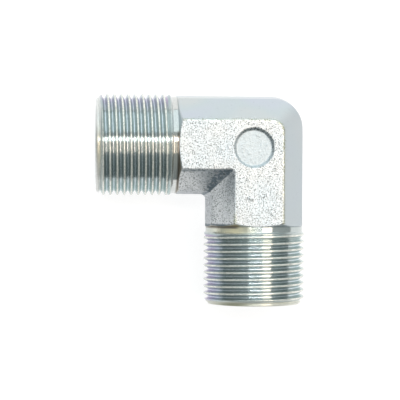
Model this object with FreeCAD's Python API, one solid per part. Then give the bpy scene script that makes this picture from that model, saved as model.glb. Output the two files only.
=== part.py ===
import FreeCAD, Part
import math
import os

# Forged steel elbow adapter with two equal turned male ends, in millimetres.
# The two bore axes cross at the origin. One arm runs along -X and the other along -Y,
# and the face with the round die mark looks up, along +Z.

# Overall lengths, measured from the crossing of the bore axes
END_TO_CENTRE = 41.5
LEFT_BODY_TO_CENTRE = 20.6
LOWER_BODY_TO_CENTRE = 21.2

# Male ends: parallel pipe thread G 3/4, drawn at its crest
THREAD_MAJOR_D = 26.441
THREAD_DEPTH = 1.162
RIM_UNDER_ROOT = 0.06
LEAD_CHAMFER_LENGTH = 1.55
COLLAR_LENGTH = 1.35
COLLAR_UNDER_FLATS = 0.125
RUNOUT_ANGLE = 45.0

# Oil passage: two drillings that meet, each behind a cone seat of 60 degrees included
BORE_D = 16.0
DRILL_POINT_ANGLE = 118.0
DRILL_SHORT_OF_FAR_WALL = 0.4
SEAT_MOUTH_D = 20.4
SEAT_ANGLE = 60.0
SEAT_EDGE_CHAMFER = 0.3

# Forged body: an octagon section, mitred round the corner. Its upright walls lean in by the draft
# from the parting line at mid height.
ACROSS_FLATS = 25.7
FLAT_WIDTH = 12.6
WALL_DRAFT_ANGLE = 8.0
OUTER_KNEE_R = 8.5
OUTER_KNEE_R_AT_FLAT = 3.1
INNER_KNEE_R = 1.3
INNER_KNEE_R_AT_FLAT = 1.05
END_CONE_ANGLE = 30.0
FORGED_EDGE_R = 0.45

# Round die mark sunk in the upper face
MARK_D = 10.7
MARK_DEPTH = 0.6
MARK_WALL_ANGLE = 45.0
MARK_ALONG_LEFT_ARM = 1.4
MARK_ALONG_LOWER_ARM = 0.9

COLLAR_R = ACROSS_FLATS / 2 - COLLAR_UNDER_FLATS
SAME_PLACE = 0.001
ORIGIN = FreeCAD.Vector(0, 0, 0)
UP = FreeCAD.Vector(0, 0, 1)
ARMS = (
    (FreeCAD.Vector(-1, 0, 0), LEFT_BODY_TO_CENTRE),
    (FreeCAD.Vector(0, -1, 0), LOWER_BODY_TO_CENTRE),
)


def slope(angle):
    """Rise over run of a line at this angle in degrees."""
    return math.tan(math.radians(angle))


def turned(profile, arm):
    """Revolve a closed profile of (distance out along the arm, radius) points about the arm."""
    points = [arm * along + UP * radius for along, radius in profile]
    wire = Part.makePolygon(points + points[:1])
    return Part.Face(wire).revolve(ORIGIN, arm, 360)


def elbow_outline(half_width, outer_radius, inner_radius, height):
    """Edges of the elbow's outline at one height: two arms, a round outer knee and a small inner one."""

    def at(x, y):
        return FreeCAD.Vector(x, y, height)

    def knee(centre, radius, start, end):
        middle = centre + radius * math.sqrt(0.5)
        return Part.Arc(start, at(middle, middle), end).toShape()

    left = -LEFT_BODY_TO_CENTRE
    lower = -LOWER_BODY_TO_CENTRE
    inner = -half_width - inner_radius
    outer = half_width - outer_radius
    left_inside = [at(left, -half_width), at(inner, -half_width)]
    lower_inside = [at(-half_width, inner), at(-half_width, lower)]
    lower_outside = [at(half_width, lower), at(half_width, outer)]
    left_outside = [at(outer, half_width), at(left, half_width)]
    return [
        Part.makeLine(*left_inside),
        knee(inner, inner_radius, left_inside[1], lower_inside[0]),
        Part.makeLine(*lower_inside),
        Part.makeLine(lower_inside[1], lower_outside[0]),
        Part.makeLine(*lower_outside),
        knee(outer, outer_radius, lower_outside[1], left_outside[0]),
        Part.makeLine(*left_outside),
        Part.makeLine(left_outside[1], left_inside[0]),
    ]


def face_between(lower, upper):
    """Flat face between two straight edges, or ruled face between two arcs."""
    if isinstance(lower.Curve, Part.Line):
        below = [vertex.Point for vertex in lower.Vertexes]
        above = [vertex.Point for vertex in upper.Vertexes]
        return Part.Face(Part.makePolygon([*below, *reversed(above), below[0]]))
    return Part.makeRuledSurface(lower, upper)


def sloped_slab(lower, upper):
    """Solid between two outlines of the elbow at different heights."""
    faces = [face_between(*pair) for pair in zip(lower, upper)]
    faces += [Part.Face(Part.Wire(outline)) for outline in (lower, upper)]
    shell = Part.makeShell(faces)
    shell.sewShape()
    return Part.Solid(shell)


def forged_edges(body):
    """The long level edges beside the slanted strips, without those of the two arm ends."""

    def beside_strip(box):
        return box.ZLength < SAME_PLACE and abs(box.ZMax) > SAME_PLACE

    def at_arm_end(box):
        past_left = box.XMax < SAME_PLACE - LEFT_BODY_TO_CENTRE
        return past_left or box.YMax < SAME_PLACE - LOWER_BODY_TO_CENTRE

    return [
        edge
        for edge in body.Edges
        if beside_strip(edge.BoundBox) and not at_arm_end(edge.BoundBox)
    ]


def forged_body():
    """Octagonal elbow: from the parting line up the drafted walls and slanted strips to the flat, and
    the same below."""
    half = ACROSS_FLATS / 2
    half_flat = FLAT_WIDTH / 2
    lean = half_flat * slope(WALL_DRAFT_ANGLE)
    parting = elbow_outline(half, OUTER_KNEE_R, INNER_KNEE_R, 0)
    wall_top = elbow_outline(half - lean, OUTER_KNEE_R - lean, INNER_KNEE_R, half_flat)
    flat = elbow_outline(half_flat, OUTER_KNEE_R_AT_FLAT, INNER_KNEE_R_AT_FLAT, half)
    wall = sloped_slab(parting, wall_top)
    strip = sloped_slab(wall_top, flat)
    lower_half = [slab.mirror(ORIGIN, UP) for slab in (wall, strip)]
    body = wall.fuse([strip, *lower_half]).removeSplitter()
    return body.makeFillet(FORGED_EDGE_R, forged_edges(body))


def end_cone_cut(arm, body_end):
    """What turning takes off the corners of the octagon at the end of an arm."""
    beyond_end = body_end + COLLAR_LENGTH
    beyond_corners = ACROSS_FLATS
    cone_start = body_end - (beyond_corners - COLLAR_R) * slope(END_CONE_ANGLE)
    return turned(
        [
            (body_end, COLLAR_R),
            (beyond_end, COLLAR_R),
            (beyond_end, beyond_corners),
            (cone_start, beyond_corners),
        ],
        arm,
    )


def male_end(arm, body_end):
    """Collar, thread at its crest and lead chamfer, rooted in the forged body."""
    root = body_end / 2
    crest = THREAD_MAJOR_D / 2
    rim = crest - THREAD_DEPTH - RIM_UNDER_ROOT
    runout = body_end + COLLAR_LENGTH
    full_thread = runout + abs(crest - COLLAR_R) / slope(RUNOUT_ANGLE)
    return turned(
        [
            (root, 0),
            (END_TO_CENTRE, 0),
            (END_TO_CENTRE, rim),
            (END_TO_CENTRE - LEAD_CHAMFER_LENGTH, crest),
            (full_thread, crest),
            (runout, COLLAR_R),
            (root, COLLAR_R),
        ],
        arm,
    )


def passage(arm):
    """Drilling from the end face, through its cone seat, to a drill point just past the centre."""
    bore = BORE_D / 2
    seat = SEAT_MOUTH_D / 2
    edge = seat + SEAT_EDGE_CHAMFER
    seat_depth = SEAT_EDGE_CHAMFER + (seat - bore) / slope(SEAT_ANGLE / 2)
    tip = DRILL_SHORT_OF_FAR_WALL - bore
    shoulder = tip + bore / slope(DRILL_POINT_ANGLE / 2)
    return turned(
        [
            (tip, 0),
            (END_TO_CENTRE, 0),
            (END_TO_CENTRE, edge),
            (END_TO_CENTRE - SEAT_EDGE_CHAMFER, seat),
            (END_TO_CENTRE - seat_depth, bore),
            (shoulder, bore),
        ],
        arm,
    )


def die_mark():
    """Shallow round recess with a sloped wall, sunk from the upper face."""
    floor_height = ACROSS_FLATS / 2 - MARK_DEPTH
    wall_spread = MARK_DEPTH * slope(MARK_WALL_ANGLE)
    floor_radius = MARK_D / 2 - wall_spread
    radius_above = MARK_D / 2 + wall_spread
    place = FreeCAD.Vector(-MARK_ALONG_LEFT_ARM, -MARK_ALONG_LOWER_ARM, floor_height)
    return Part.makeCone(floor_radius, radius_above, 2 * MARK_DEPTH, place, UP)


def elbow_body():
    """The whole adapter, one solid."""
    body = forged_body()
    for arm, body_end in ARMS:
        body = body.cut(end_cone_cut(arm, body_end))
    body = body.fuse([male_end(arm, body_end) for arm, body_end in ARMS])
    for arm, _body_end in ARMS:
        body = body.cut(passage(arm))
    return body.cut(die_mark()).removeSplitter().Solids[0]


os.makedirs("parts", exist_ok=True)
adapter = elbow_body()
adapter.exportStep("parts/elbow_body.step")
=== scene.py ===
import collections
import itertools
import math

import bpy
import numpy as np
from mathutils import Matrix, Vector


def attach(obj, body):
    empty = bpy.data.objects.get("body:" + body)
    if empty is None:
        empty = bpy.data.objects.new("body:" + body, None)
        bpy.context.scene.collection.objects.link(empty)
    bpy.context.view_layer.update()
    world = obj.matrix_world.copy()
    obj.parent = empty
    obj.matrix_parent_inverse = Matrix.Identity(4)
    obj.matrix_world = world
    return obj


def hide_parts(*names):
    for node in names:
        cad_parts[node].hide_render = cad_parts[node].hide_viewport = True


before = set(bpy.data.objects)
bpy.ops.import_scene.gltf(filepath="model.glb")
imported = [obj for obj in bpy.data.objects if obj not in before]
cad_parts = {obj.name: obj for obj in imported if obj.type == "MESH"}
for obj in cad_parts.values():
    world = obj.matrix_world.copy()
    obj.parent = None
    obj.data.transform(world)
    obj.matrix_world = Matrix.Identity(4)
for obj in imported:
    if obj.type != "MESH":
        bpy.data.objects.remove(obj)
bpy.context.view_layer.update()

# Sizes of the elbow in millimetres, from the crossing of its two axes. One arm runs out along -X
# and the other along -Y, and the face with the round die mark looks up.
MM = 0.001
END_TO_CENTRE = 41.5

# Turned ends: thread of rounded 55 degree form, collar, lead chamfer, bore and cone seat. Angles
# are in degrees here and below.
CREST_R = 13.2205
THREAD_PITCH = 1.814
THREAD_DEPTH = 1.162
CREST_CUT = 0.05
ROUNDING_PER_PITCH = 0.1373
FLANK_ANGLE = 27.5
ROOT_R = CREST_R - THREAD_DEPTH
RIM_UNDER_ROOT = 0.06
RIM_R = ROOT_R - RIM_UNDER_ROOT
COLLAR_R = 12.725
COLLAR_LENGTH = 1.35
LEAD_CHAMFER = 1.55
GROOVE_FADE = 2.8
BORE_R = 8.0
SEAT_R = 10.2
SEAT_EDGE = 0.3
SEAT_HALF_ANGLE = 30
SEAT_DEPTH = SEAT_EDGE + (SEAT_R - BORE_R) / math.tan(math.radians(SEAT_HALF_ANGLE))
DRILL_SHOULDER = 2.793
DRILL_TIP = 7.6

# Forging: octagon section with drafted walls, knee radii from the inner to the outer parting line,
# and the die mark
HALF = 12.85
HALF_FLAT = 6.3
WALL_DRAFT = 8
WALL_TOP = HALF - HALF_FLAT * math.tan(math.radians(WALL_DRAFT))
EDGE_R = 0.45
KNEE_OFFSETS = (-HALF, -WALL_TOP, -HALF_FLAT, HALF_FLAT, WALL_TOP, HALF)
OUTER_KNEE_R = 8.5
KNEE_RADII = (1.3, 1.3, 1.05, 3.1, OUTER_KNEE_R - HALF + WALL_TOP, OUTER_KNEE_R)
END_CONE_ANGLE = 30
END_CONE = math.tan(math.radians(END_CONE_ANGLE))
MARK_CENTRE = (-1.4, -0.9)
MARK_R = 5.35
MARK_DEPTH = 0.6
MARK_WALL = 0.95

# Dent and two scratches of the upper face: the two ends of each, its half width and its depth
SCRATCHES = (
    ((-2.7, -13.75), (-1.7, -14.25), 0.5, 0.16),
    ((1.9, -16.5), (4.7, -19.0), 0.2, 0.05),
    ((-11.8, 0.5), (-9.7, -1.5), 0.22, 0.06),
)

# One arm: its outward axis, the direction of zero angle, the direction across it to the outer side
# of the bend, where its body ends, how far out one thread crest lies at zero angle, the offset at
# which its straw tint is strongest, and the offset below which painted shade darkens its joint with
# the forging
Arm = collections.namedtuple("Arm", "axis zero outer body_end crest_at straw_at dark_below")
X, Y = np.array([1.0, 0.0, 0.0]), np.array([0.0, 1.0, 0.0])
ARMS = {
    "left": Arm(-X, Y, Y, 20.6, 38.63, -1.5, 3.0),
    "lower": Arm(-Y, -X, X, 21.2, 24.2, -6.5, -5.5),
}

# Width of the straw tint's bell curve, and how far the painted joint shade fades to each side
STRAW_WIDTH = 4.5
DARK_FADE = 0.7

# Finish of one turned end: the plain and the straw tinted colour of its collar and of its lead
# chamfer, and how hazy the collar is where it is plain and where it is tinted
TurnedFinish = collections.namedtuple(
    "TurnedFinish", "collar collar_straw lead lead_straw haze haze_straw"
)
TURNED_FINISHES = {
    "left": TurnedFinish(
        collar=(0.68, 0.70, 0.69, 1),
        collar_straw=(0.66, 0.66, 0.60, 1),
        lead=(0.88, 0.89, 0.87, 1),
        lead_straw=(0.78, 0.75, 0.62, 1),
        haze=0.1,
        haze_straw=0.1,
    ),
    "lower": TurnedFinish(
        collar=(0.55, 0.61, 0.61, 1),
        collar_straw=(0.92, 0.86, 0.60, 1),
        lead=(0.87, 0.88, 0.80, 1),
        lead_straw=(0.48, 0.48, 0.36, 1),
        haze=0.35,
        haze_straw=0.8,
    ),
}
# Colour of the blasted plating's dark specks, also used for the painted shade on the die mark's
# wall
DARK_SPECK_AND_SHADE = (0.07, 0.09, 0.09, 1)

# Random tables repeat after this many cubes. Points beside a corner lie this far from it. A turned
# end has this many points round it, and as many along its thread.
TABLE = 64
CORNER_GAP = 0.03
ROUND_STEPS = 240
THREAD_STEPS = 240


def smooth_step(low, high, x):
    """0 up to low, 1 from high, and 3t^2 - 2t^3 of the share t between them."""
    share = np.clip((x - low) / (high - low), 0, 1)
    return share * share * (3 - 2 * share)


def lumps(points, size, seed):
    """Smooth height from -1 to 1: random values at the corners of cubes of this size, blended
    across each cube by the step 3t^2 - 2t^3 in each direction."""
    corner_values = np.random.default_rng(seed).uniform(-1, 1, (TABLE, TABLE, TABLE))
    cube = np.floor(points / size).astype(int)
    share = points / size - cube
    share = share * share * (3 - 2 * share)
    height = np.zeros(points.shape[:-1])
    for corner in itertools.product((0, 1), repeat=3):
        weight = np.prod(np.where(corner, share, 1 - share), axis=-1)
        key = np.moveaxis((cube + corner) % TABLE, -1, 0)
        height += weight * corner_values[tuple(key)]
    return height


def pits(points, size, seed):
    """Depth from 0 to 1 of small bowls: each cube of this size holds one centre at a random place
    with a random reach, and the depth is the step of 1 - distance / reach, the deepest bowl
    counting."""
    random = np.random.default_rng(seed)
    centres = random.uniform(0, 1, (TABLE, TABLE, TABLE, 3))
    reaches = random.uniform(0.05, 0.7, (TABLE, TABLE, TABLE))
    cube = np.floor(points / size).astype(int)
    depth = np.zeros(points.shape[:-1])
    for neighbour in itertools.product((-1, 0, 1), repeat=3):
        other = cube + neighbour
        key = tuple(np.moveaxis(other % TABLE, -1, 0))
        distance = np.linalg.norm(points / size - other - centres[key], axis=-1)
        depth = np.maximum(depth, smooth_step(0, 1, 1 - distance / reaches[key]))
    return depth


def closed_surface(name, points, attributes, finish):
    """Piece of the elbow: a grid of points in millimetres that closes on itself in both directions.
    Each value of attributes is one number a point."""
    rows, columns = points.shape[:2]
    index = np.arange(rows * columns).reshape(rows, columns)
    below, right = np.roll(index, -1, axis=0), np.roll(index, -1, axis=1)
    corner = np.roll(below, -1, axis=1)
    quads = np.stack([index, right, corner, below], axis=-1).reshape(-1, 4)
    mesh = bpy.data.meshes.new(name)
    mesh.from_pydata(points.reshape(-1, 3) * MM, [], quads)
    for label, values in attributes.items():
        layer = mesh.attributes.new(label, "FLOAT", "POINT")
        layer.data.foreach_set("value", values.astype(np.float32).ravel())
    mesh.polygons.foreach_set("use_smooth", np.ones(len(quads), bool))
    mesh.materials.append(finish)
    mesh.validate()
    piece = bpy.data.objects.new(name, mesh)
    bpy.context.scene.collection.objects.link(piece)
    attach(piece, "root")
    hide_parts("elbow_body")


# The forged elbow


def octagon_section():
    """Points round the section, offset toward the outer side of the bend first and height second.
    Each side is walked evenly from the end of one corner arc to the start of the next, and each
    corner is an arc of EDGE_R as wide as the sides turn there."""
    quarter = np.array([(HALF, 0.0), (WALL_TOP, HALF_FLAT), (HALF_FLAT, HALF)])
    upper = np.concatenate([quarter, quarter[::-1] * (-1, 1)])
    corners = np.concatenate([upper, upper[-2:0:-1] * (1, -1)])
    side_steps = (14, 26, 94, 58, 18, 18, 24, 34, 20, 12)
    ahead = np.roll(corners, -1, axis=0) - corners
    length = np.linalg.norm(ahead, axis=1)
    ahead /= length[:, None]
    outward = np.stack([ahead[:, 1], -ahead[:, 0]], axis=1)
    turn = np.arccos(np.sum(ahead * np.roll(ahead, -1, axis=0), axis=1))
    cut = EDGE_R * np.tan(turn / 2)
    points = []
    for side, steps in enumerate(side_steps):
        start, end = cut[side - 1] / length[side], 1 - cut[side] / length[side]
        share = np.linspace(start, end, steps)
        points.append(corners[side] + ahead[side] * length[side] * share[:, None])
        angle = np.arctan2(*outward[side][::-1]) + turn[side] * np.array([0.2, 0.4, 0.6, 0.8])
        centre = points[-1][-1] - outward[side] * EDGE_R
        points.append(centre + EDGE_R * np.stack([np.cos(angle), np.sin(angle)], axis=-1))
    return np.concatenate(points)


def along_left_arm(offset, height, stations, body_end):
    """Skin of the left half of the elbow. At one offset d the line runs straight to x = d - R and
    then turns through 45 degrees about (d - R, d - R), with the knee radius R for that offset.
    Stations from 0 to 1 are on the straight run and from 1 to 2 on the arc."""
    knee = np.interp(offset, KNEE_OFFSETS, KNEE_RADII)[:, None]
    offset, height = offset[:, None], height[:, None]
    radius = np.hypot(offset, height)
    start = (radius - COLLAR_R) * END_CONE - body_end
    run = np.minimum(stations, 1)
    turn = np.radians(90 - 45 * np.maximum(stations - 1, 0))
    x = start + (offset - knee - start) * run + knee * np.cos(turn)
    y = offset - knee + knee * np.sin(turn)
    return np.stack([x, y, height + 0 * x], axis=-1)


def cone_and_bore(offset, height, body_end):
    """Turned cone from the skin's end to the collar circle, and behind it the ring to the bore and
    the bore wall to the mitre plane. All keep the section's own angle; the drill point narrows the
    bore past its shoulder, so the mitre is at x = radius times cosine."""
    radius = np.hypot(offset, height)
    cosine, sine = offset / radius, height / radius

    def ring(x, at_radius):
        return np.stack([x + 0 * radius, at_radius * cosine, at_radius * sine], axis=-1)

    rise = radius - COLLAR_R
    cone = [
        ring(share * rise * END_CONE - body_end, COLLAR_R + share * rise)
        for share in (0.0, 0.33, 0.67)
    ]
    taper = BORE_R / (DRILL_TIP - DRILL_SHOULDER)
    mitre = BORE_R * cosine
    past_shoulder = cosine * (BORE_R + taper * DRILL_SHOULDER) / (1 + taper * cosine)
    mitre = np.where(mitre > DRILL_SHOULDER, past_shoulder, mitre)
    inside = [ring(-body_end, (COLLAR_R + BORE_R) / 2)]
    for share in np.linspace(0, 1, 11):
        x = -body_end + (mitre + body_end) * share
        inside.append(ring(x, BORE_R - taper * np.maximum(x - DRILL_SHOULDER, 0)))
    return np.stack(cone, axis=1), np.stack(inside, axis=1)


def mirrored(points):
    """The same points on the other arm, with x and y exchanged."""
    return points[..., [1, 0, 2]]


def scratch(points, start, end, width):
    """1 along the middle of a line on the upper face and 0 beyond its width: the step of one minus
    distance / width from the stretch between its two ends."""
    start, end = np.array(start), np.array(end)
    along = end - start
    share = np.clip((points[..., :2] - start) @ along / (along @ along), 0, 1)
    distance = np.linalg.norm(points[..., :2] - start - share[..., None] * along, axis=-1)
    return smooth_step(0, 1, 1 - distance / width) * (points[..., 2] > HALF - 1)


def die_relief(points, blasted):
    """Height of the forged skin over its plain form: long swells everywhere, and on the blasted
    sides finer lumps, small pits and the few dents and scratches of the upper face."""
    swells = 0.045 * lumps(points, 6.0, 11) + 0.02 * lumps(points, 2.2, 12)
    grain = 0.016 * lumps(points, 0.7, 13) + 0.014 * lumps(points, 0.4, 14)
    bowls = 0.07 * pits(points, 0.62, 15)
    dents = sum(
        depth * scratch(points, start, end, width) for start, end, width, depth in SCRATCHES
    )
    return (0.35 + 0.65 * blasted) * swells + blasted * (grain - bowls) - dents


def mark_recess(points):
    """Depth of the round die mark below the upper face: full on its floor, none outside its
    slightly wandering rim, and the step 3t^2 - 2t^3 down its wall."""
    distance = np.hypot(points[..., 0] - MARK_CENTRE[0], points[..., 1] - MARK_CENTRE[1])
    rim_wander = 0.07 * lumps(points, 1.1, 16) + 0.09 * lumps(points, 0.45, 17)
    depth = MARK_DEPTH * smooth_step(0, MARK_WALL, MARK_R + rim_wander - distance)
    return depth * (points[..., 2] > HALF - 0.2)


def dark_scratches_and_wall_shade(points, depth):
    """1 in the scratches, which are darker, and painted shade along the middle of the mark's wall
    on
    its upper right side: the parabola 6 t (1 - t) of the share t of the depth, up to 1, times the
    step of the cosine from that side."""
    across = points[..., 0] - MARK_CENTRE[0]
    up = points[..., 1] - MARK_CENTRE[1]
    cosine = (0.39 * across + 0.92 * up) / np.hypot(across, up)
    dark = np.minimum(6 * depth * (1 - depth), 1) * smooth_step(-0.1, 0.7, cosine)
    for start, end, width, _depth in SCRATCHES:
        dark = np.maximum(dark, 0.7 * scratch(points, start, end, width))
    return dark


def tinted_and_shaded_edge(points, offset):
    """How strongly the edges of the upper face take their olive colour, which is partly the
    plating's tint and partly painted shade along the edge: the outer one in a bell curve 0.3 wide,
    from 1 on the lower arm to 0.6 on the left one, and the last of the inner one on the lower arm
    in a bell curve 0.4 wide."""
    outer = np.exp(-(((offset - HALF_FLAT) / 0.3) ** 2))
    outer = outer * (0.6 + 0.4 * smooth_step(-1, 5, points[..., 0]))
    inner = np.exp(-(((offset + HALF_FLAT) / 0.4) ** 2)) * smooth_step(-16, -20, points[..., 1])
    return (outer + inner) * (points[..., 2] > 0)


def painted_crook_shade(points, offset):
    """Painted shade in the crook: on the left arm's inner strip it fades from the mitre over a
    distance that grows with the height, and a dark line follows the edge of the face; on the lower
    arm's it follows that edge more widely and the end of the strip; and the inner walls are evenly
    darker."""
    x, y, height = points[..., 0], points[..., 1], np.abs(points[..., 2])
    reach = 2.0 + 1.5 * np.maximum(height - HALF_FLAT, 0)
    left = smooth_step(1.25, 0.05, (y - x) / reach)
    left = np.maximum(left, 0.75 * np.exp(-(((height - HALF + 0.5) / 0.35) ** 2)))
    lower = 0.55 * smooth_step(8.5, 12.5, height) * smooth_step(13, 2, x - y)
    lower = np.maximum(lower, 1.1 * smooth_step(0.95, 0.45, y + ARMS["lower"].body_end))
    wall = 0.4 * smooth_step(HALF_FLAT + 1.2, HALF_FLAT - 0.8, height)
    inner_side = smooth_step(0.1, -0.3, offset + HALF_FLAT)
    return np.maximum(np.where(y > x, left, lower), wall) * inner_side


def forged_elbow(finish):
    """The forging: the octagon carried round the bend, its turned end cones, and the drilled
    passage, in one closed surface. Its skin is moved out along its own normal by the relief, and
    down by the die mark."""
    section = octagon_section()
    offset, height = section[:, 0], section[:, 1]
    stations = np.concatenate(
        [
            np.linspace(0, 0.62, 50, endpoint=False),
            np.linspace(0.62, 1, 46, endpoint=False),
            np.linspace(1, 2, 16),
        ]
    )
    outer, inner, dark = [], [], []
    for arm in ARMS.values():
        skin = along_left_arm(offset, height, stations, arm.body_end)
        cone, inside = cone_and_bore(offset, height, arm.body_end)
        outer.append(np.concatenate([cone, skin], axis=1))
        inner.append(inside)
        # Painted shade on the end cone's side toward the crook, next to the collar
        low, high = arm.dark_below - DARK_FADE, arm.dark_below + DARK_FADE
        dark.append(smooth_step(high, low, offset)[:, None])
    outer[1], inner[1] = mirrored(outer[1]), mirrored(inner[1])
    points = np.concatenate([outer[0], outer[1][:, -2::-1], inner[1], inner[0][:, -2::-1]], axis=1)
    skin_columns = np.zeros(points.shape[1], bool)
    skin_columns[cone.shape[1] : 2 * outer[0].shape[1] - 1 - cone.shape[1]] = True

    ragged = 0.2 + 0.9 * lumps(points, 0.4, 18) + 0.3 * lumps(points, 1.4, 19)
    blasted = smooth_step(0.15, -0.3, offset[:, None] - HALF_FLAT - ragged) * skin_columns
    across = np.roll(points, -1, axis=0) - np.roll(points, 1, axis=0)
    onward = np.roll(points, -1, axis=1) - np.roll(points, 1, axis=1)
    normal = np.cross(onward, across)
    normal /= np.linalg.norm(normal, axis=-1, keepdims=True)
    from_left_end = ARMS["left"].body_end + points[..., 0]
    from_lower_end = ARMS["lower"].body_end + points[..., 1]
    from_end = np.minimum(from_left_end, from_lower_end)
    relief = die_relief(points, blasted) * smooth_step(0.4, 1.6, from_end) * skin_columns
    recess = mark_recess(points) * skin_columns
    points = points + normal * relief[..., None]
    points[..., 2] -= recess
    on_left_arm = points[..., 0] < points[..., 1]
    attributes = {
        "blasted": blasted,
        "marked": smooth_step(0.05, 0.4, recess / MARK_DEPTH),
        # Darker scratches, and painted shade on the upper right of the die mark's wall
        "burnt": dark_scratches_and_wall_shade(points, recess / MARK_DEPTH),
        "shaded": painted_crook_shade(points, offset[:, None]) * skin_columns,
        # Painted light: the inner strips are made paler
        "pale": smooth_step(0.1, -0.3, offset + HALF_FLAT)[:, None] * skin_columns,
        # Olive tint along the face's edges, partly painted shade
        "edge": tinted_and_shaded_edge(points, offset[:, None]) * skin_columns,
        # Painted shade: the right strip is darker than the top one
        "right": smooth_step(-3, 3, points[..., 0] - points[..., 1]),
        # Painted shade on the end cones' side toward the crook
        "turned": np.where(on_left_arm, *dark) * ~skin_columns,
    }
    closed_surface("forged_elbow", points, attributes, finish)


# The threaded ends


def thread_radius(along, angle, crest_at):
    """Radius of the right-hand thread: with w the distance to the nearest crest, an arc over the
    crest, a straight flank, and an arc in the root, all cut off level at the crest radius. The
    crest moves out by one pitch a turn."""
    turns = angle / (2 * math.pi)
    w = (along - crest_at) / THREAD_PITCH - turns
    w = np.abs(w - np.round(w)) * THREAD_PITCH
    rounding = ROUNDING_PER_PITCH * THREAD_PITCH
    arc_width = rounding * math.cos(math.radians(FLANK_ANGLE))
    arc_height = rounding * (1 - math.sin(math.radians(FLANK_ANGLE)))
    half = THREAD_PITCH / 2
    peak = CREST_R + CREST_CUT
    over_crest = peak - rounding + np.sqrt(np.maximum(rounding**2 - w**2, 0))
    in_root = ROOT_R + rounding - np.sqrt(np.maximum(rounding**2 - (half - w) ** 2, 0))
    slope = (peak - ROOT_R - 2 * arc_height) / (half - 2 * arc_width)
    flank = peak - arc_height - slope * (w - arc_width)
    form = np.where(w < arc_width, over_crest, np.where(w > half - arc_width, in_root, flank))
    return np.minimum(form, CREST_R)


def outer_radius(along, angle, crest_at, collar_end):
    """The collar, then the smallest of the thread, the run-out cone and the lead cone. The groove
    gets shallower over the last turn before the collar."""
    fade = smooth_step(collar_end + GROOVE_FADE, collar_end, along)
    groove = np.maximum(thread_radius(along, angle, crest_at), ROOT_R + THREAD_DEPTH * fade)
    run_out = COLLAR_R + np.maximum(along - collar_end, 0)
    lead = RIM_R + (END_TO_CENTRE - along) * (CREST_R - RIM_R) / LEAD_CHAMFER
    return np.minimum(np.minimum(groove, run_out), lead)


def inner_profile(body_end):
    """Distance out and radius down the end face, the seat edge, the cone seat, the bore and the
    ring at the root. Each corner is two points close to it, so that the sides between keep
    straight."""
    corners = np.array(
        [
            (END_TO_CENTRE, RIM_R),
            (END_TO_CENTRE, SEAT_R + SEAT_EDGE),
            (END_TO_CENTRE - SEAT_EDGE, SEAT_R),
            (END_TO_CENTRE - SEAT_DEPTH, BORE_R),
            (body_end, BORE_R),
            (body_end, COLLAR_R),
        ]
    )
    points = []
    for start, end in zip(corners[:-1], corners[1:]):
        length = np.linalg.norm(end - start)
        gap = CORNER_GAP / length
        share = np.array([gap, 0.33, 0.67, 1 - gap])
        points.append(start + (end - start) * share[:, None])
    return np.concatenate(points)


def threaded_end(arm, finish):
    """One turned end: rings of radius r at distance u out along the arm, closed through the
    bore."""
    axis, zero, outer_side, body_end, crest_at, straw_at, dark_below = ARMS[arm]
    collar_end = body_end + COLLAR_LENGTH
    quarter = np.cross(axis, zero)
    angle = np.linspace(0, 2 * math.pi, ROUND_STEPS, endpoint=False)
    outer_along = np.concatenate(
        [
            np.linspace(body_end + CORNER_GAP, collar_end, 8, endpoint=False),
            np.linspace(collar_end, END_TO_CENTRE - CORNER_GAP, THREAD_STEPS),
        ]
    )
    outer = outer_radius(outer_along[:, None], angle, crest_at, collar_end)
    inner_along, inner = inner_profile(body_end).T
    along = np.concatenate([outer_along, inner_along])[:, None] + 0 * angle
    radius = np.concatenate([outer, inner[:, None] + 0 * angle])
    around = np.cos(angle)[:, None] * zero + np.sin(angle)[:, None] * quarter
    points = along[..., None] * axis + radius[..., None] * around
    threaded = smooth_step(collar_end, collar_end + 0.6, along)
    threaded = threaded * smooth_step(END_TO_CENTRE - 0.7, END_TO_CENTRE - 1.3, along)
    crest = np.clip((radius - ROOT_R) / THREAD_DEPTH, 0, 1)
    side = np.cos(angle) + 0 * along
    offset = points @ outer_side
    turns = (along - crest_at) / THREAD_PITCH - angle / (2 * math.pi)
    tinted = np.exp(-(((offset - straw_at) / STRAW_WIDTH) ** 2))
    # Painted shade on the collar next to the forging, on the side toward the crook
    joint_shade = smooth_step(dark_below + DARK_FADE, dark_below - DARK_FADE, offset)
    at_end = smooth_step(END_TO_CENTRE - 1.3, END_TO_CENTRE - 0.9, along)
    attributes = {
        "crest": crest,
        "threaded": threaded,
        "along": along,
        "side": side,
        "straw": tinted * smooth_step(-0.2, 0.2, around[..., 2]),
        "dark": joint_shade * smooth_step(body_end + 0.55, body_end + 0.25, along),
        "inward": np.where(turns - np.floor(turns) > 0.5, 1.0, 0.0),
        "lead": at_end * (radius > RIM_R - 0.05),
    }
    closed_surface(f"threaded_end_{arm}", points, attributes, finish)


# Finishes


def linked_nodes(material):
    """Empties the node tree of a material or world, and gives back a function that adds a node to
    it. The function takes settings by name, and inputs by name or by an underscore and their place,
    each a value or another node's output."""
    material.use_nodes = True
    tree = material.node_tree
    tree.nodes.clear()

    def add(kind, settings=None, **inputs):
        new = tree.nodes.new(kind)
        for name, value in (settings or {}).items():
            setattr(new, name, value)
        for name, value in inputs.items():
            key = int(name[1:]) if name[0] == "_" else name.replace("_", " ")
            socket = new.inputs[key]
            if isinstance(value, bpy.types.NodeSocket):
                tree.links.new(value, socket)
            else:
                socket.default_value = value
        return new

    return add


def colour_steps(add, share, steps):
    """Colour ramp through (place, colour) steps, read at a share from 0 to 1."""
    ramp = add("ShaderNodeValToRGB", Fac=share)
    elements = ramp.color_ramp.elements
    while len(elements) < len(steps):
        elements.new(0.5)
    for element, (place, colour) in zip(elements, steps):
        element.position = place
        element.color = (*colour, 1)
    return ramp.outputs["Color"]


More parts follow.
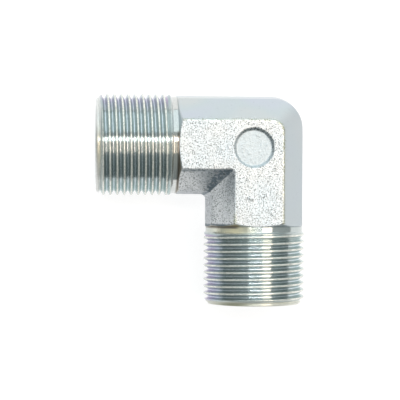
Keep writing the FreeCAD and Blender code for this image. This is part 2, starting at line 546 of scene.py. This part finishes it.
def noise(add, place, size, detail=2.0, roughness=0.5):
    """Noise whose lumps are about this many millimetres wide, from 0 to 1."""
    texture = add(
        "ShaderNodeTexNoise",
        Vector=place,
        Scale=1 / (size * MM),
        Detail=detail,
        Roughness=roughness,
    )
    return texture.outputs["Fac"]


def blend(add, share, first, second, way="MIX"):
    """Mix of two colours, or what another way of blending makes of them."""
    settings = {"data_type": "RGBA", "blend_type": way}
    return add("ShaderNodeMix", settings, _0=share, _6=first, _7=second).outputs[2]


def arithmetic(add, operation, first, second=0.0):
    """One operation on one or two numbers."""
    return add("ShaderNodeMath", {"operation": operation}, _0=first, _1=second).outputs[0]


def product(add, first, second):
    """Two numbers multiplied."""
    return arithmetic(add, "MULTIPLY", first, second)


def between(add, value, low, high, out_low=0.0, out_high=1.0):
    """The value moved from one range to another, held at its ends."""
    return add(
        "ShaderNodeMapRange", _0=value, _1=low, _2=high, _3=out_low, _4=out_high
    ).outputs[0]


def attribute(add, name):
    """One of the piece's own numbers."""
    return add("ShaderNodeAttribute", {"attribute_name": name}).outputs["Fac"]


def forged_zinc():
    """Zinc plate on the forging: grainy and full of dark specks where it is blasted, and smooth
    pale grey with soft bluish patches on the outer strips. Painted shade darkens the crook, the
    upper right of the die mark's wall, the right strip, the face's edges in part and the end cones'
    side toward the crook; painted light makes the inner strips paler."""
    material = bpy.data.materials.new("forged_zinc")
    add = linked_nodes(material)
    place = add("ShaderNodeTexCoord").outputs["Object"]
    blasted = attribute(add, "blasted")
    patches = noise(add, place, 9, 1)
    smooth_colour = colour_steps(
        add,
        patches,
        [(0.3, (0.62, 0.65, 0.655)), (0.5, (0.58, 0.64, 0.66)), (0.7, (0.59, 0.63, 0.69))],
    )
    # Painted shade: the right strip is darkened
    right = product(add, attribute(add, "right"), 0.7)
    smooth_colour = blend(add, right, smooth_colour, (0.50, 0.55, 0.58, 1))
    flecks = between(add, noise(add, place, 0.45, 2), 0.26, 0.34, 0.3, 0.0)
    smooth_colour = blend(add, flecks, smooth_colour, (0.30, 0.30, 0.34, 1))
    marked = attribute(add, "marked")
    plain = colour_steps(add, patches, [(0.35, (0.765, 0.79, 0.80)), (0.65, (0.72, 0.775, 0.81))])
    plain = blend(add, marked, plain, (0.61, 0.67, 0.70, 1))
    # Painted light: the inner strips are made paler
    plain = blend(add, attribute(add, "pale"), plain, (0.97, 0.98, 1.0, 1))
    grain = noise(add, place, 0.3, 3, 0.6)
    ragged = between(add, noise(add, place, 0.7, 3, 0.6), 0.38, 0.6, 1.25, 0.7)
    # Painted shade in the crook, with a ragged edge
    shaded = product(add, attribute(add, "shaded"), ragged)
    plain = blend(add, shaded, plain, (0.20, 0.25, 0.29, 1))
    specks = between(add, grain, 0.38, 0.43, 1.0, 0.0)
    dots = add("ShaderNodeTexVoronoi", Vector=place, Scale=1 / (0.42 * MM)).outputs["Distance"]
    crowded = between(add, noise(add, place, 1.6, 2), 0.4, 0.6, 0.3, 1.0)
    dots = product(add, between(add, dots, 0.22, 0.34, 1.0, 0.0), crowded)
    specks = arithmetic(add, "MAXIMUM", specks, dots)
    specks = product(add, specks, between(add, marked, 0, 1, 1.0, 0.25))
    # Darker scratches, and painted shade on the upper right of the die mark's wall
    burnt = product(add, attribute(add, "burnt"), between(add, grain, 0.42, 0.56, 1.0, 0.1))
    blasted_colour = blend(add, specks, plain, DARK_SPECK_AND_SHADE)
    blasted_colour = blend(add, burnt, blasted_colour, DARK_SPECK_AND_SHADE)
    colour = blend(add, blasted, smooth_colour, blasted_colour)
    # Olive tint along the face's edges, partly painted shade
    edge = product(add, attribute(add, "edge"), between(add, grain, 0.45, 0.6, 0.7, 0.0))
    colour = blend(add, edge, colour, (0.40, 0.42, 0.24, 1))
    # Painted shade on the end cones' side toward the crook
    colour = blend(add, attribute(add, "turned"), colour, (0.42, 0.39, 0.34, 1))
    roughness = between(add, blasted, 0, 1, 0.30, 0.60)
    strength = between(add, blasted, 0, 1, 0.06, 0.75)
    roughened = noise(add, place, 0.36, 2, 0.55)
    bump = add("ShaderNodeBump", Strength=strength, Distance=0.06 * MM, Height=roughened)
    shader = add(
        "ShaderNodeBsdfPrincipled",
        Base_Color=colour,
        Metallic=1.0,
        Roughness=roughness,
        Normal=bump.outputs[0],
    )
    add("ShaderNodeOutputMaterial", Surface=shader.outputs[0])
    return material


def turned_zinc(arm):
    """Bright zinc plate on one turned end: cream on the crests, cool blue on the flanks, with soft
    lavender and straw tints, painted shade on the flanks toward the two sides of the arm at zero
    and half a turn, and painted shade where the collar meets the forging. The fine turning lines
    run round the arm, so they spread what the metal mirrors along it."""
    tints = TURNED_FINISHES[arm]
    material = bpy.data.materials.new(f"{arm}_turned_zinc")
    add = linked_nodes(material)
    place = add("ShaderNodeTexCoord").outputs["Object"]
    side = between(add, attribute(add, "side"), -1, 1)
    crest = attribute(add, "crest")
    lead = attribute(add, "lead")
    plain = blend(add, lead, tints.collar, tints.lead)
    straw = blend(add, lead, tints.collar_straw, tints.lead_straw)
    plain = blend(add, attribute(add, "straw"), plain, straw)
    # Painted shade where the collar meets the forging, on the side toward the crook
    plain = blend(add, attribute(add, "dark"), plain, (0.22, 0.20, 0.17, 1))
    profile = colour_steps(
        add,
        crest,
        [
            (0.01, (0.80, 0.83, 0.88)),
            (0.08, (0.55, 0.595, 0.59)),
            (0.88, (0.55, 0.595, 0.59)),
            (0.97, (0.97, 0.98, 0.91)),
        ],
    )
    # Tint of the flanks round the arm: teal and lavender hues of the plating, and painted shade
    # that darkens them toward zero and half a turn
    tint = colour_steps(
        add,
        side,
        [
            (0.03, (0.72, 0.86, 0.87)),
            (0.14, (0.95, 1.00, 1.00)),
            (0.82, (0.98, 1.00, 1.00)),
            (0.93, (0.71, 0.83, 0.89)),
            (1.0, (0.64, 0.71, 0.85)),
        ],
    )
    on_flank = between(add, crest, 0.97, 0.88)
    profile = blend(add, on_flank, profile, tint, "MULTIPLY")
    magenta = product(add, between(add, side, 0.86, 0.96), attribute(add, "inward"))
    magenta = product(add, magenta, between(add, crest, 0.9, 0.7, 0.0, 0.5))
    profile = blend(add, magenta, profile, (0.66, 0.42, 0.68, 1))
    threaded = attribute(add, "threaded")
    rubbed = between(add, crest, 0.85, 0.97, 0.25, 0.75)
    worn = between(add, noise(add, place, 0.4, 3, 0.6), 0.4, 0.56, 1.0, 0.0)
    worn = product(add, worn, rubbed)
    colour = blend(add, worn, blend(add, threaded, plain, profile), (0.45, 0.47, 0.45, 1))
    satin = product(add, threaded, between(add, crest, 0.85, 0.97, 0.0, 0.7))
    satin = arithmetic(add, "MAXIMUM", satin, lead)
    not_threaded = arithmetic(add, "SUBTRACT", 1.0, threaded)
    haze = between(add, attribute(add, "straw"), 0, 1, tints.haze, tints.haze_straw)
    satin = arithmetic(add, "MAXIMUM", satin, product(add, not_threaded, haze))
    lines = arithmetic(add, "SINE", product(add, attribute(add, "along"), 42.0))
    height = product(add, lines, noise(add, place, 1.5, 2))
    bump = add("ShaderNodeBump", Strength=0.12, Distance=0.01 * MM, Height=height)
    hazy = product(add, satin, 0.32)
    round_arm = add(
        "ShaderNodeVectorMath", {"operation": "CROSS_PRODUCT"}, _0=ARMS[arm].axis, _1=place
    )
    roughness = between(add, threaded, 0, 1, 0.18, 0.27)
    shader = add(
        "ShaderNodeBsdfPrincipled",
        Base_Color=colour,
        Metallic=between(add, satin, 0, 1, 1.0, 0.5),
        Roughness=arithmetic(add, "MAXIMUM", roughness, hazy),
        Anisotropic=1.0,
        Anisotropic_Rotation=0.25,
        Tangent=round_arm.outputs[0],
        Normal=bump.outputs[0],
    )
    add("ShaderNodeOutputMaterial", Surface=shader.outputs[0])
    return material


def pale_floor():
    """White floor. What the camera sees of it directly or in the metal has some of its own light
    added, so that it reads white, while the light on it still shows the shadow. In the metal it is
    dimmer beyond the picture, far out to the left and in the distance."""
    material = bpy.data.materials.new("pale_floor")
    add = linked_nodes(material)
    path = add("ShaderNodeLightPath").outputs
    place = add("ShaderNodeTexCoord").outputs["Object"]
    across = add("ShaderNodeSeparateXYZ", Vector=place).outputs["X"]
    distance = add("ShaderNodeVectorMath", {"operation": "LENGTH"}, _0=place).outputs["Value"]
    in_metal = between(add, across, -110 * MM, -74 * MM, 0.55, 1.0)
    near = between(add, distance, 250 * MM, 600 * MM, 1.0, 0.4)
    in_metal = product(add, in_metal, near)
    in_metal = product(add, in_metal, path["Is Glossy Ray"])
    seen = arithmetic(add, "MAXIMUM", path["Is Camera Ray"], in_metal)
    seen = arithmetic(add, "MAXIMUM", seen, path["Is Transmission Ray"])
    strength = product(add, seen, 0.86)
    glow = add("ShaderNodeEmission", Color=(1, 1, 1, 1), Strength=strength)
    paint = add("ShaderNodeBsdfDiffuse", Color=(0.26, 0.26, 0.26, 1))
    both = add("ShaderNodeAddShader", _0=glow.outputs[0], _1=paint.outputs[0])
    add("ShaderNodeOutputMaterial", Surface=both.outputs[0])
    return material


# Studio


def studio_floor():
    """Flat round sheet under the threads, a polar grid whose height is that of the lowest crest."""
    radius = np.array([0.0, 0.3, 1.0, 4.0])[:, None]
    angle = np.linspace(0, 2 * math.pi, 64, endpoint=False)
    height = -(CREST_R + 0.01) * MM + 0 * radius * angle
    points = np.stack([radius * np.cos(angle), radius * np.sin(angle), height], axis=-1)
    index = np.arange(points.size // 3).reshape(points.shape[:2])
    after = np.roll(index, -1, axis=1)
    quads = np.stack([index[:-1], index[1:], after[1:], after[:-1]], axis=-1).reshape(-1, 4)
    mesh = bpy.data.meshes.new("floor")
    mesh.from_pydata(points.reshape(-1, 3), [], quads)
    mesh.materials.append(pale_floor())
    floor = bpy.data.objects.new("floor", mesh)
    bpy.context.scene.collection.objects.link(floor)


def softbox(name, tilt_x, tilt_y, distance, width, depth, radiance, colour):
    """Area lamp seen from the elbow at these tilts from straight up, in degrees. Its power is pi
    times its area times the radiance, so that a mirror shows it at that brightness."""
    lamp = bpy.data.lights.new(name, "AREA")
    lamp.shape = "RECTANGLE"
    lamp.size, lamp.size_y = width, depth
    lamp.energy = math.pi * width * depth * radiance
    lamp.color = colour
    slope_x, slope_y = math.tan(math.radians(tilt_x)), math.tan(math.radians(tilt_y))
    toward = Vector((slope_x, slope_y, 1)).normalized()
    box = bpy.data.objects.new(name, lamp)
    right = Vector((0, 1, 0)).cross(toward).normalized()
    turn = Matrix((right, toward.cross(right), toward)).transposed()
    box.matrix_world = Matrix.Translation(toward * distance) @ turn.to_4x4()
    bpy.context.scene.collection.objects.link(box)


def studio_light():
    """A long key softbox above, a warm one to the right, a cool one at the back, and a dim grey
    room that is lighter toward the back."""
    softbox(
        "key_softbox", tilt_x=-1, tilt_y=12, distance=0.9, width=0.58, depth=0.105,
        radiance=11.6, colour=(1.0, 1.0, 1.0),
    )
    softbox(
        "warm_softbox", tilt_x=26.5, tilt_y=0, distance=0.9, width=0.34, depth=0.62,
        radiance=4.8, colour=(1.0, 0.81, 0.67),
    )
    softbox(
        "back_softbox", tilt_x=8, tilt_y=60.4, distance=1.2, width=2.4, depth=1.4,
        radiance=0.78, colour=(0.82, 0.96, 1.0),
    )
    world = bpy.data.worlds.new("room")
    add = linked_nodes(world)
    direction = add("ShaderNodeTexCoord").outputs["Generated"]
    back = (0.0, 0.95, 0.3)
    toward_back = add(
        "ShaderNodeVectorMath", {"operation": "DOT_PRODUCT"}, _0=direction, _1=back
    )
    walls = colour_steps(
        add,
        between(add, toward_back.outputs["Value"], -1, 1),
        [(0.1, (0.225, 0.255, 0.255)), (0.9, (0.44, 0.48, 0.48))],
    )
    light = add("ShaderNodeBackground", Color=walls)
    add("ShaderNodeOutputWorld", Surface=light.outputs[0])
    bpy.context.scene.world = world


def studio_camera():
    """Camera high above the left of the elbow, with the image's up along +Y, aimed a little to the
    right, on a long lens."""
    place = Vector((-48.4, -9.4, 414.2)) * MM
    target = Vector((-14.2, -14.4, 0.0)) * MM
    back = (place - target).normalized()
    up = Vector((-0.0037, 1, 0))
    right = up.cross(back).normalized()
    turn = Matrix((right, back.cross(right), back)).transposed()
    lens = bpy.data.cameras.new("camera")
    lens.lens = 142.5
    lens.sensor_width = 36.0
    lens.clip_start, lens.clip_end = 0.01, 20.0
    camera = bpy.data.objects.new("camera", lens)
    camera.matrix_world = Matrix.Translation(place) @ turn.to_4x4()
    bpy.context.scene.collection.objects.link(camera)
    bpy.context.scene.camera = camera


bpy.context.scene.view_settings.view_transform = "Standard"
forged_elbow(forged_zinc())
for arm in ARMS:
    threaded_end(arm, turned_zinc(arm))
studio_floor()
studio_light()
studio_camera()
